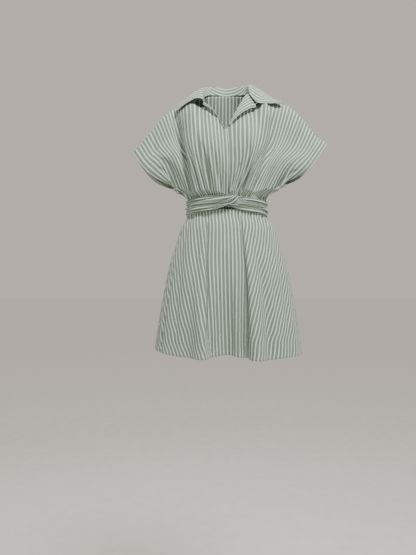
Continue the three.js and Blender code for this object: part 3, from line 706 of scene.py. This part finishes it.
BACK_CREASES = table("across0 down0 across1 down1 bow depth width edge", [
    (152, 0.16, 182, 0.8, 4, 8, 12, 1.5),
    (128, 0.4, 116, 1.0, 0, 5.5, 9, 1.5),
    (88, 0.5, 78, 1.05, 3, 5.5, 8, 1.5),
    (62, 0.66, 56, 1.05, 0, -4, 9, 2),
    (40, 0.56, 34, 1.05, 0, 5, 8, 1.5),
    (14, 0.64, 12, 1.05, 0, 4.5, 7, 1.5),
    (204, 0.5, 216, 0.95, 0, 6, 9, 1.5),
    (180, 0.72, 178, 1.05, 0, 5.5, 8, 1.4),
    (146, 0.74, 146, 1.05, 0, 5, 8, 1.4),
    (236, 0.2, 256, 0.56, 4, 3.5, 9, 1.6),
    (280, 0.62, 256, 0.84, -3, 6, 6, 1.4),
    (240, 0.7, 236, 1.05, 0, 5, 8, 1.5),
    (64, 0.12, 70, 0.4, 4, 2.5, 13, 2),
])
RIGHT_SINK = table("across down", [(40, 0.05), (92, 0.05)])
LEFT_SINK = table("across down", [(19, 0.093), (38, 0.15), (60, 0.163), (86, 0.132)])
UNREST = [(46, 1.2, 0.5), (21, 0.75, 0.6), (11, 0.2, 0.6)]
FRONT_SHOULDER_FROM = 80
BACK_SHOULDER_FROM = 75
HALF_SEAM_GAP = 0.15


def seam_dip(across, down, shoulder_from):
    """Cloth sinks a little into the shoulder seam and the side seam."""
    top = np.exp(-(down * STRIPE_LENGTH / 2.6) ** 2) * (across > shoulder_from)
    side = np.exp(-((1 - down) * STRIPE_LENGTH / 2.6) ** 2) * (across > SIDE_SEAM_ACROSS)
    return 0.8 * (top + side)


def bodice_relief(creases, seed, shoulder_from):
    def relief(across, down):
        away = np.abs(across)
        unrest = ripple(across, down * STRIPE_LENGTH, seed, UNREST) * (0.5 + 0.9 * down)
        return -runs(creases, away, down, fading=True) + unrest - seam_dip(away, down, shoulder_from)
    return relief


def beside_turned_edge(relief, line, depth, wide):
    """A front that sinks a little along a line beside its turned neck edge."""
    first, last = line["across"][0], line["across"][-1]

    def sunk(across, down):
        away = np.abs(across)
        middle = np.interp(away, line["across"], line["down"])
        reach = smooth(first - 14, first, away) * (1 - smooth(last, last + 24, away))
        return relief(across, down) - depth * np.exp(-((down - middle) / wide) ** 2) * reach
    return sunk


def hold_to_seam(panel, is_back):
    """Keeps a panel on its own side of the shoulder and side seams, and above the waist seam."""
    points = panel["points"]
    seam = mix(SHOULDER_SEAM_Y, SIDE_SEAM_Y, smooth(0.3, 0.9, panel["b"]))
    if is_back:
        points[:, :, 1] = np.maximum(points[:, :, 1], seam + HALF_SEAM_GAP)
    else:
        points[:, :, 1] = np.minimum(points[:, :, 1], seam - HALF_SEAM_GAP)
    points[:, :, 2] = np.maximum(points[:, :, 2], WAIST_SEAM_Z)


right_relief = beside_turned_edge(bodice_relief(RIGHT_CREASES, 3, FRONT_SHOULDER_FROM), RIGHT_SINK, 9, 0.028)
left_relief = beside_turned_edge(bodice_relief(LEFT_CREASES, 5, FRONT_SHOULDER_FROM), LEFT_SINK, 5, 0.018)
back_relief = bodice_relief(BACK_CREASES, 8, BACK_SHOULDER_FROM)
right_panel = lay_out(right_front, spaced(-FRONT_LAP, SLEEVE_HEM_ACROSS, 150), spaced(0, 1, 130, 1.2),
                      right_relief, facing=1)
left_panel = lay_out(left_front, spaced(0, SLEEVE_HEM_ACROSS, 145), spaced(0, 1, 130, 1.2),
                     left_relief, facing=-1)
back_panel = lay_out(back_surface, spaced(-SLEEVE_HEM_ACROSS, SLEEVE_HEM_ACROSS, 241), spaced(0, 1, 110, 1.2),
                     back_relief, facing=1)
for panel, is_back in ((right_panel, False), (left_panel, False), (back_panel, True)):
    hold_to_seam(panel, is_back)


def bodice_places(panel):
    """Places on the flat cloth in metres, across the stripes and along them.

    Steps of the tables are a little short over the chest and long over the sleeves.
    """
    away = np.abs(panel["a"])
    across = away * CHEST_STEP + SLEEVE_STEP * np.maximum(0, away - 118) * smooth(105, 160, away)
    return np.stack([np.sign(panel["a"]) * across, panel["along"]], 2) * MM


right_shell = cloth_object("front_right_cloth", right_panel, bodice_places(right_panel))
left_shell = cloth_object("front_left_cloth", left_panel, bodice_places(left_panel))
back_shell = cloth_object("back_cloth", back_panel, bodice_places(back_panel))

even = np.linspace(0, 1, 260)


STITCH_LIFT = 0.15


def line_at(panel, u, v):
    """A line of points just above a panel, with their normals."""
    points, n = sample(panel, np.broadcast_to(u, even.shape), np.broadcast_to(v, even.shape))
    return points + n * STITCH_LIFT, n


left_edge_stitches = stitches("front_edge_stitches", [line_at(left_panel, 0.016, mix(0.06, 0.9, even))])
finish_cloth(right_shell, ["front_right"])
finish_cloth(left_shell, ["front_left"])
finish_cloth(back_shell, ["back"])


# Cuffs: a band folded over each sleeve hem, made from the sleeve's points moved out
CUFF_LIFT = 1.9


def cuff_panel(front, side):
    steps = spaced(0, 1, 90, 1.2)
    widths = np.concatenate([[0, 0.06], np.linspace(0.14, 0.86, 8), [0.94, 1]])
    alongs = SLEEVE_HEM_ACROSS - CUFF_WIDTH + widths * (CUFF_WIDTH + 0.8)
    ring = []
    for across in alongs:
        fore = front(np.full(len(steps), across), steps)
        rear = back_surface(np.full(len(steps) - 2, side * across), steps[1:-1][::-1])
        ring.append(np.concatenate([fore, rear]))
    points = np.stack(ring, 1)
    around = np.roll(points, -1, 0) - np.roll(points, 1, 0)
    over = np.gradient(points, axis=1)
    n = np.cross(around, over)
    n /= np.linalg.norm(n, axis=2)[:, :, None]
    centre = points.mean(axis=(0, 1))
    facing = np.sign((n * (points - centre)).sum())
    n = n * facing
    puff = CUFF_LIFT + 0.5 * np.sin(np.pi * widths)
    points = points + n * puff[None, :, None]
    lengths = np.linalg.norm(np.roll(points, -1, 0) - points, axis=2).mean(1)
    run = np.concatenate([[0], np.cumsum(lengths)[:-1]])
    a, b = np.meshgrid(run, alongs, indexing="ij")
    return {"points": points, "normals": n, "a": a, "b": b, "facing": facing}


for name, front, side in (("right", right_front, -1), ("left", left_front, 1)):
    cuff = cuff_panel(front, side)
    shell = cloth_object("cuff_%s_cloth" % name, cuff, np.stack([cuff["b"], cuff["a"]], 2) * MM, wrap=True)
    closed = {"points": np.vstack([cuff["points"], cuff["points"][:1]]),
              "normals": np.vstack([cuff["normals"], cuff["normals"][:1]])}
    rows = stitches("cuff_%s_stitches" % name, [line_at(closed, even, 0.12), line_at(closed, even, 0.9)])
    finish_cloth(shell, ["cuff_" + name])


# Collar
COLLAR_LEVELS = ["neck", "roll", "fall", "edge"]
COLLAR_HEIGHTS = [0, 0.24, 0.58, 1]
COLLAR_CUT_RADIUS = 78


def collar_surface(around, down):
    return loft(COLLAR, "round", COLLAR_LEVELS, COLLAR_HEIGHTS, around, down)


def collar_relief(around, down):
    edge = np.exp(-((1 - down) * 62 / 7) ** 2)
    wave = ripple(around * 420, down * 90, 21, [(60, 0.8, 0.9), (26, 0.3, 0.8)])
    return wave * smooth(0.1, 0.6, down) + 0.5 * edge


# The ends of the worn collar stand off the fronts a little more than the solid's
COLLAR["neck"][-1] = (70, -34, -20)
COLLAR["roll"][-1] = (68, -42, -14)
COLLAR["fall"][-1] = (91, -53, -44)
COLLAR["edge"][-1] = (170, -37, -40)
COLLAR["roll"][0] = (-76, -48, -32)
COLLAR["fall"][0] = (-104, -54, -35)
COLLAR["edge"][0] = (-157, -44, -68)
collar_panel = lay_out(collar_surface, np.linspace(0, 1, 180), np.linspace(0, 1, 60), collar_relief)
# The collar is cut as part of a ring, so its stripes run sideways on both leaves and the back
collar_turn = np.radians(mix(195, -15, collar_panel["a"]))
collar_radius = COLLAR_CUT_RADIUS + collar_panel["along"]
collar_cut = np.stack([collar_radius * np.sin(collar_turn), collar_radius * np.cos(collar_turn)], 2) * MM
collar_shell = cloth_object("collar_cloth", collar_panel, collar_cut, thickness=1.2)
collar_rows = stitches("collar_stitches", [
    line_at(collar_panel, even * 0.96 + 0.02, 0.93),
    line_at(collar_panel, 0.018, mix(0.5, 0.93, even)), line_at(collar_panel, 0.982, mix(0.5, 0.93, even))])
finish_cloth(collar_shell, ["collar"])


# Turned neck edges
def turned_edge(front, facing, rows, lift):
    def at(along, over):
        root, across, fall = (curve(rows["along"], rows[key][:, None], along)[:, 0]
                              for key in ("root", "across", "down"))
        place, down = mix(root, across, over), over * fall
        step_a, step_d = 1.5, 0.006
        along_a = front(place + step_a, down + step_d) - front(place - step_a, down + step_d)
        along_d = front(place, down + 2 * step_d) - front(place, down)
        n = np.cross(along_a, along_d)
        n /= np.linalg.norm(n, axis=1)[:, None]
        height = 1.5 + lift * (0.7 + 0.9 * along) * np.sin(over * np.pi / 2) ** 0.8
        return front(place, down) + n * facing * height[:, None]
    return at


# The top of the lapel reaches a little further under the collar than the solid's
LAPEL["root"][-1], LAPEL["across"][-1], LAPEL["down"][-1] = 73, 95, 0.12
TURNED_LENGTH = 92
lapel_surface = turned_edge(left_front, -1, LAPEL, 6.5)
lapel_panel = lay_out(lapel_surface, np.linspace(0, 1, 110), np.linspace(0, 1, 50),
                      lambda a, b: ripple(a * 90, b * 50, 31, [(34, 0.6, 0.8)]) * b, facing=-1)
edge_surface = turned_edge(right_front, 1, EDGE, 2)
edge_panel = lay_out(edge_surface, np.linspace(0, 1, 90), np.linspace(0, 1, 14), facing=1)
lapel_shell = cloth_object("lapel_left_cloth", lapel_panel, np.stack([
    lapel_panel["along"][:, -1:] - lapel_panel["along"], lapel_panel["a"] * TURNED_LENGTH], 2) * MM)
edge_shell = cloth_object("edge_right_cloth", edge_panel, np.stack([
    edge_panel["along"], edge_panel["a"] * TURNED_LENGTH], 2) * MM)
lapel_rows = stitches("lapel_stitches", [line_at(lapel_panel, mix(0.02, 0.98, even), 0.93)])
edge_rows = stitches("neck_edge_stitches", [line_at(edge_panel, mix(0.02, 0.98, even), 0.75)])
finish_cloth(lapel_shell, ["lapel_left"])
finish_cloth(edge_shell, ["edge_right"])


# Waist ties: start and end across the tie, swing, depth and width of each pleat
RIGHT_PLEATS = [(0.2, 0.34, 0.07, 6.5, 0.06), (0.5, 0.4, 0.1, 5, 0.055), (0.74, 0.6, 0.06, 6.5, 0.065),
                (0.1, 0.16, 0.03, 3, 0.04), (0.9, 0.84, 0.04, 4, 0.045)]
LEFT_PLEATS = [(0.34, 0.18, 0.07, 6.5, 0.06), (0.56, 0.48, 0.08, 6, 0.055), (0.82, 0.72, 0.05, 5.5, 0.06),
               (0.1, 0.12, 0.03, 3, 0.04), (0.44, 0.34, 0.05, 3.5, 0.04)]


def tie_relief(seed):
    def relief(along, over):
        curl = -4.5 * (np.exp(-(over / 0.05) ** 2) + np.exp(-((1 - over) / 0.045) ** 2))
        return curl + ripple(along * 380, over * 50, seed, [(34, 1.1, 0.5), (15, 0.5, 0.7)])
    return relief


for name, rows, pleats, seed in (("right", RIGHT_TIE, RIGHT_PLEATS, 41), ("left", LEFT_TIE, LEFT_PLEATS, 43)):
    tie = lay_out(tie_surface(rows, pleats), np.linspace(0, 1, 260), np.linspace(0, 1, 64), tie_relief(seed))
    run = np.concatenate([[0], np.cumsum(np.linalg.norm(np.diff(tie["points"][:, 30], axis=0), axis=1))])
    cut = np.stack([tie["along"] * 1.15, np.broadcast_to(run[:, None], tie["a"].shape)], 2) * MM
    shell = cloth_object("band_%s_cloth" % name, tie, cut)
    finish_cloth(shell, ["band_" + name])


# Knot at the back and the free ends of the ties
KNOT_CENTRE = (0, 106, -361)
KNOT_HALF = (15, 11, 17)
TIE_ENDS = table("side length lean", [(-1, 235, 32), (1, 218, 40)])


def knot_surface(turn, tall):
    angle, height = np.radians(turn), np.radians(tall)
    swirl = 1 + 0.07 * np.sin(5 * angle + 3 * height) + 0.05 * np.cos(9 * height + 2 * angle)
    pinch = 1 - 0.16 * np.exp(-(height / 0.22) ** 2) * (0.6 + 0.4 * np.cos(2 * angle))
    return np.stack([
        KNOT_CENTRE[0] + KNOT_HALF[0] * np.cos(height) * np.sin(angle) * swirl * pinch,
        KNOT_CENTRE[1] + KNOT_HALF[1] * np.cos(height) * np.cos(angle) * swirl * pinch,
        KNOT_CENTRE[2] + KNOT_HALF[2] * np.sin(height) * swirl], 1)


knot_panel = lay_out(knot_surface, np.linspace(0, 360, 97)[:-1], np.linspace(-86, 86, 60), facing=1)
centre = np.array(KNOT_CENTRE)
out_of = knot_panel["points"] - centre
if (knot_panel["normals"] * out_of).sum() < 0:
    knot_panel["normals"] *= -1
    knot_panel["facing"] = -1
knot_cut = np.stack([knot_panel["b"] * 0.5, knot_panel["a"] * 0.25], 2) * MM
knot_shell = cloth_object("knot_cloth", knot_panel, knot_cut, wrap=True)
finish_cloth(knot_shell, ["tie_knot"])


def tie_end_surface(side, length, lean):
    def at(down, over):
        spread = 12 + 20 * smooth(0, 0.5, down)
        z = KNOT_CENTRE[2] - KNOT_HALF[2] - 0.3 - down * length
        middle = side * (7.3 + lean * down)
        fold = 3.5 * np.cos(2.5 * np.pi * over) * (1 - 0.5 * down)
        fold = fold + 0.9 * np.sin(9 * down + 3 * over) * down
        behind = curve(SKIRT_RINGS["drop"], SKIRT_RINGS["back"][:, None], -z)[:, 0] + 9
        return np.stack([middle + (over - 0.5) * spread,
                         mix(KNOT_CENTRE[1], behind, smooth(0, 0.25, down)) + fold, z], 1)
    return at


for k, name in enumerate(("right", "left")):
    side, length, lean = (TIE_ENDS[key][k] for key in ("side", "length", "lean"))
    end = lay_out(tie_end_surface(side, length, lean), np.linspace(0, 1, 120), np.linspace(0, 1, 36),
                  lambda a, b: ripple(a * 230, b * 32, 51, [(30, 0.6, 0.6)]))
    cut = np.stack([end["along"] * 1.2, end["a"] * length], 2) * MM
    shell = cloth_object("tie_end_%s_cloth" % name, end, cut)
    rows = stitches("tie_end_%s_stitches" % name, [
        line_at(end, 0.985, mix(0.04, 0.96, even)), line_at(end, mix(0.02, 0.98, even), 0.95),
        line_at(end, mix(0.02, 0.98, even), 0.05)])
    finish_cloth(shell, ["tie_end_" + name])


# Skirt
SKIRT_CREASES = table("across0 down0 across1 down1 bow depth width edge", [
    (-40, 0.1, -10, 1.15, 2, 6.5, 4, 1.5),
    (-30, 0.3, -22, 0.9, 0, -4, 4.5, 2),
    (-29, 0.0, -9.6, 1.2, 0, 13, 2.4, 1.4),
    (-52, 0.25, -43, 1.1, 0, 5, 4, 1.6),
    (-58, 0.06, -56, 0.7, 0, 3.5, 4, 1.8),
    (-64, 0.36, -62, 1.25, 0, 8, 2.4, 1.4),
    (14.7, 0.06, 9.9, 1.35, 0, 20, 1.6, 1.4),
    (6, 0.4, 4.5, 1.2, 0, -4, 3, 2),
    (18.5, 0.35, 16, 1.2, 0, -4, 3.5, 2),
    (-10.5, 0.5, -9.5, 1.2, 0, 4, 2, 1.5),
    (2.6, 0.5, 2.4, 1.2, 0, 3.5, 1.8, 1.5),
    (24.5, 0.16, 27, 1.1, 6, 7, 4, 1.5),
    (-3, 0.15, -4, 0.9, 0, 2, 3, 1.8),
    (36, 0.3, 36, 1.1, 0, -4, 5, 2),
    (43, 0.15, 41, 0.85, 0, 4, 4, 1.8),
    (58, 0.2, 50, 1.1, 0, 5, 4.5, 1.7),
    (76, 0.25, 72, 1.0, 0, 5, 5, 1.8),
    (-44, -0.14, -27, 0.18, 0, 3, 3.4, 1.6),
    (-36, -0.14, -35, 0.14, 0, 2, 2.8, 1.7),
    (14.7, -0.14, 13.6, 0.18, 0, 4, 2.2, 1.5),
    (-14, -0.14, -13, 0.14, 0, 2, 2.8, 1.7),
    (30, -0.14, 34, 0.16, 0, 4, 3, 1.5),
    (46, -0.14, 47, 0.14, 0, 3.2, 3, 1.5),
    (60, -0.14, 62, 0.18, 0, 4, 3.5, 1.5),
    (-62, -0.14, -58, 0.17, 0, 2.6, 3.5, 1.7),
    (112, 0.05, 116, 1.0, 0, 6, 5, 1.6),
    (128, 0.1, 130, 0.9, 0, -4, 5, 2),
    (140, 0.1, 144, 1.15, 0, 7, 4, 1.5),
    (152, -0.14, 150, 0.2, 0, 4, 3, 1.5),
    (164, -0.14, 164, 0.16, 0, 3.5, 3, 1.5),
    (176, 0.1, 180, 1.1, 0, 7, 4, 1.5),
    (190, -0.14, 188, 0.2, 0, 4, 3, 1.5),
    (212, 0.12, 216, 1.1, 0, 7, 4, 1.5),
    (226, -0.14, 228, 0.2, 0, 4, 3, 1.5),
    (232, 0.3, 234, 1.0, 0, -4, 5, 2),
    (250, 0.1, 254, 1.0, 0, 6, 5, 1.6),
    (272, 0.2, 274, 0.9, 0, 4, 5, 1.8),
])
SKIRT_LENGTH = 440
MEAN_ARC = 2.6
SKIRT_UNREST = [(52, 1.6, 0.35), (24, 0.8, 0.5), (13, 0.25, 0.6)]
STANDING_FOLDS = (12.5, -20, 142, 217)
WAIST_GATHER = 0.1
SEAM_DEGREES = 0.08


def skirt_relief(seed, low_seam, high_seam):
    def relief(degrees, down):
        arc = mix(2.1, 3.6, down)
        ease = ripple(degrees * MEAN_ARC, down * SKIRT_LENGTH, seed, SKIRT_UNREST)
        seams = sum(np.exp(-((degrees - seam) * arc / 3) ** 2) for seam in (low_seam, high_seam))
        hem = 0.45 * smooth(SKIRT_LENGTH - 13, SKIRT_LENGTH - 11.5, down * SKIRT_LENGTH)
        pucker = 0.35 * np.sin(degrees * 0.9 + 1.5 * np.sin(degrees * 0.31)) * np.exp(-(down / 0.07) ** 2)
        return -runs(SKIRT_CREASES, degrees, down, SKIRT_LENGTH, True) * smooth(0, 0.05, down) + ease * (
            0.4 + 0.8 * down) - 0.9 * seams + hem + pucker
    return relief


def skirt_panel(low, high, columns, seed):
    """Columns of the panel stand closer together at the standing folds."""
    downs = np.concatenate([spaced(0, 0.3, 50)[:-1] ** 1.1 * 0.3 ** -0.1, np.linspace(0.3, 1, 96)])
    fine = np.linspace(low, high, 3000)
    share = np.cumsum(1 + sum(3 * np.exp(-((fine - place) / 6) ** 2) for place in STANDING_FOLDS))
    degrees = np.interp(np.linspace(share[0], share[-1], columns), share, fine)
    return lay_out(skirt_surface, degrees, downs, skirt_relief(seed, low, high))


# Standing folds of the skirt's front hide some cloth, more of it towards the hem
TAKEN = table("across0 down0 across1 down1 half taken", [
    (14.5, 0.12, 11.2, 1, 0.8, 74),
    (-27, 0.12, -12.8, 1, 1.2, -58),
    (140, 0.1, 144, 1, 3, -40),
    (216, 0.1, 218, 1, 3, 40),
])


def fan_places(panel, middle):
    """Places on a panel cut as a fan about the waist, with its stripes along the middle one."""
    step = np.linalg.norm(np.diff(panel["points"], axis=0), axis=2)
    run = np.concatenate([np.zeros((1, step.shape[1])), np.cumsum(step, axis=0)])
    column = int(np.argmin(np.abs(panel["a"][:, 0] - middle)))
    arc = run - run[column]
    long = panel["along"][column]
    turn = (run[-1, -1] - run[-1, 0]) / long[-1] / 2
    radius = run[-1, 0] / 2 / turn + long
    arc = arc * (1 + WAIST_GATHER * (1 - smooth(0, 0.35, panel["b"])))
    for k in range(len(TAKEN["taken"])):
        across0, down0, across1, down1, half, taken = (TAKEN[key][k] for key in TAKEN)
        f = np.clip((panel["b"] - down0) / (down1 - down0), 0, 1)
        passed = smooth(-half, half, panel["a"] - mix(across0, across1, f))
        if abs(across0 - middle) < 90:
            arc = arc + taken * f * (passed if taken > 0 else 1 - passed)
    angle = arc / radius
    return np.stack([radius * np.sin(angle), radius * np.cos(angle)], 2) * MM


for name, low, high, columns, seed in (
        ("front", FRONT_SEAM_RIGHT + SEAM_DEGREES, FRONT_SEAM_LEFT - SEAM_DEGREES, 230, 61),
        ("back", FRONT_SEAM_LEFT + SEAM_DEGREES, FRONT_SEAM_RIGHT + 360 - SEAM_DEGREES, 230, 63)):
    panel = skirt_panel(low, high, columns, seed)
    shell = cloth_object("skirt_%s_cloth" % name, panel, fan_places(panel, 3 if name == "front" else 183))
    long_even = np.linspace(0, 1, 900)
    points, n = sample(panel, mix(0.004, 0.996, long_even), np.full(900, 0.976))
    rows = stitches("skirt_%s_hem_stitches" % name, [(points + n * STITCH_LIFT, n)])
    finish_cloth(shell, ["skirt_" + name])


# Floor, light and finish
FLOOR_Z = -2.2
FLOOR_HALF_WIDTH = 40
floor_corners = [(x * FLOOR_HALF_WIDTH, y * FLOOR_HALF_WIDTH, FLOOR_Z)
                 for x, y in ((-1, -1), (1, -1), (1, 1), (-1, 1))]
floor_mesh = bpy.data.meshes.new("floor")
floor_mesh.from_pydata(floor_corners, [], [(0, 1, 2, 3)])
floor = bpy.data.objects.new("floor", floor_mesh)
bpy.context.collection.objects.link(floor)
floor_mesh.materials.append(plain_material("floor_paint", (1, 1, 0.995), 1))

world = bpy.data.worlds.new("world")
bpy.context.scene.world = world
world.use_nodes = True
background = world.node_tree.nodes["Background"]
background.inputs["Color"].default_value = (0.70, 0.63, 0.565, 1)
background.inputs["Strength"].default_value = 0.87


def softbox(name, place, aim, size, power, colour=(1, 1, 1)):
    data = bpy.data.lights.new(name, "AREA")
    data.shape = "RECTANGLE"
    data.size, data.size_y = size
    data.energy = power
    data.color = colour
    light = bpy.data.objects.new(name, data)
    light.location = place
    direction = Vector(aim) - Vector(place)
    light.rotation_euler = direction.to_track_quat("-Z", "Y").to_euler()
    bpy.context.collection.objects.link(light)


softbox("key", (0.55, -1.45, 1.85), (0, 0, -0.45), (0.7, 0.7), 105, (1, 0.99, 0.97))
softbox("fill", (-2.0, -1.6, 0.3), (0, 0, -0.45), (1.6, 1.6), 2)
softbox("top", (0.1, -0.2, 1.9), (0, 0, -0.3), (1.1, 1.1), 5)
softbox("rear", (-0.6, 2.2, 0.9), (0, 0, -0.4), (1.6, 1.6), 18)
